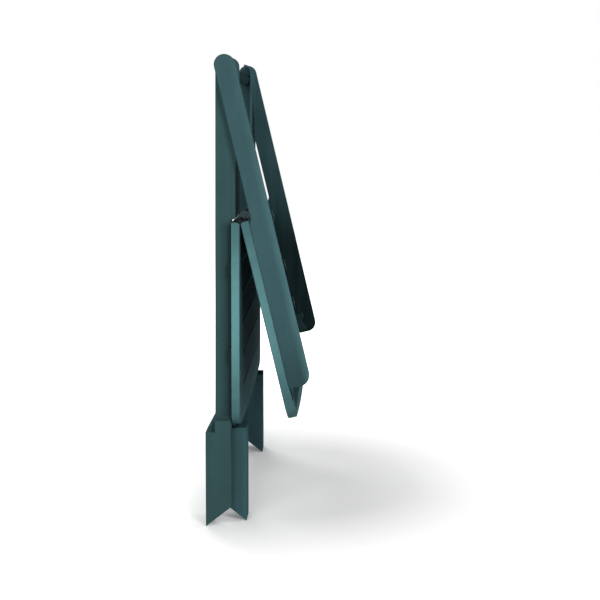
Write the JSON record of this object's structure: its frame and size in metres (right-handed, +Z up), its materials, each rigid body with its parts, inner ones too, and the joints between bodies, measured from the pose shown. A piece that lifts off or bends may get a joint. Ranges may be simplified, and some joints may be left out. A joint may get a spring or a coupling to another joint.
{
  "type": "folding garden table",
  "caption": "Folding resin garden table with crossed flared legs and a slatted top in hinged leaves, folded flat to stand upright for storage.",
  "frame": {"origin": "on the floor under the middle of the folded table's bounding box", "axes": "+Z up, +X from the outer legs' side towards the rails' free ends, +Y across the width of the table"},
  "size_m": [0.195, 0.72, 0.8858],
  "materials": {
    "green_resin": "matte moulded resin, dark teal green",
    "hinge_resin": "satin moulded resin, near black green",
    "steel": "zinc plated",
    "pad_rubber": "matte"
  },
  "bodies": {
    "axle": {"cross_axle": "steel", "axle_washers": "steel"},
    "outer_frame": {"leg_a_near": "green_resin", "leg_a_far": "green_resin", "stretcher_a": "green_resin", "rail_pivot_pin_near": "steel", "rail_pivot_pin_far": "steel", "pivot_washers": "steel"},
    "inner_frame": {"leg_b_near": "green_resin", "leg_b_far": "green_resin", "top_bar": "hinge_resin", "top_bar_screws": "steel", "stretcher_b": "green_resin", "stretcher_b_screws": "steel"},
    "top": {"rail_near": "green_resin", "rail_far": "green_resin", "fixed_leaf": "green_resin", "leaf_screws": "steel", "cradle_near": "green_resin", "cradle_far": "green_resin", "cradle_screws": "steel", "hinge_fixed_near": "hinge_resin", "hinge_fixed_mid": "hinge_resin", "hinge_fixed_far": "hinge_resin", "hinge_pins": "steel", "hinge_screws_fixed": "steel"},
    "leaf": {"folding_leaf": "green_resin", "leaf_pads": "pad_rubber", "hinge_moving_near": "hinge_resin", "hinge_moving_mid": "hinge_resin", "hinge_moving_far": "hinge_resin", "hinge_screws_moving": "steel"}
  },
  "joints": [
    {"name": "outer_frame_spread", "type": "hinge", "parent": "axle", "child": "outer_frame", "pos_m": [-0.06003, 0, 0.40393], "axis": [0, 1, 0], "range_deg": [0, 38]},
    {"name": "inner_frame_spread", "type": "hinge", "parent": "outer_frame", "child": "inner_frame", "pos_m": [-0.06003, 0, 0.40393], "axis": [0, -1, 0], "range_deg": [0, 76]},
    {"name": "top_swing", "type": "hinge", "parent": "outer_frame", "child": "top", "pos_m": [-0.06003, 0, 0.86685], "axis": [0, -1, 0], "range_deg": [0, 294.46]},
    {"name": "leaf_fold", "type": "hinge", "parent": "top", "child": "leaf", "pos_m": [-0.03223, 0, 0.5804], "axis": [0, 1, 0], "range_deg": [0, 166.46]}
  ],
  "couplings": [
    {"joint": "outer_frame_spread", "follows": "top_swing", "ratio": 0.12904},
    {"joint": "inner_frame_spread", "follows": "top_swing", "ratio": 0.25808},
    {"joint": "leaf_fold", "follows": "top_swing", "ratio": 0.5653}
  ]
}
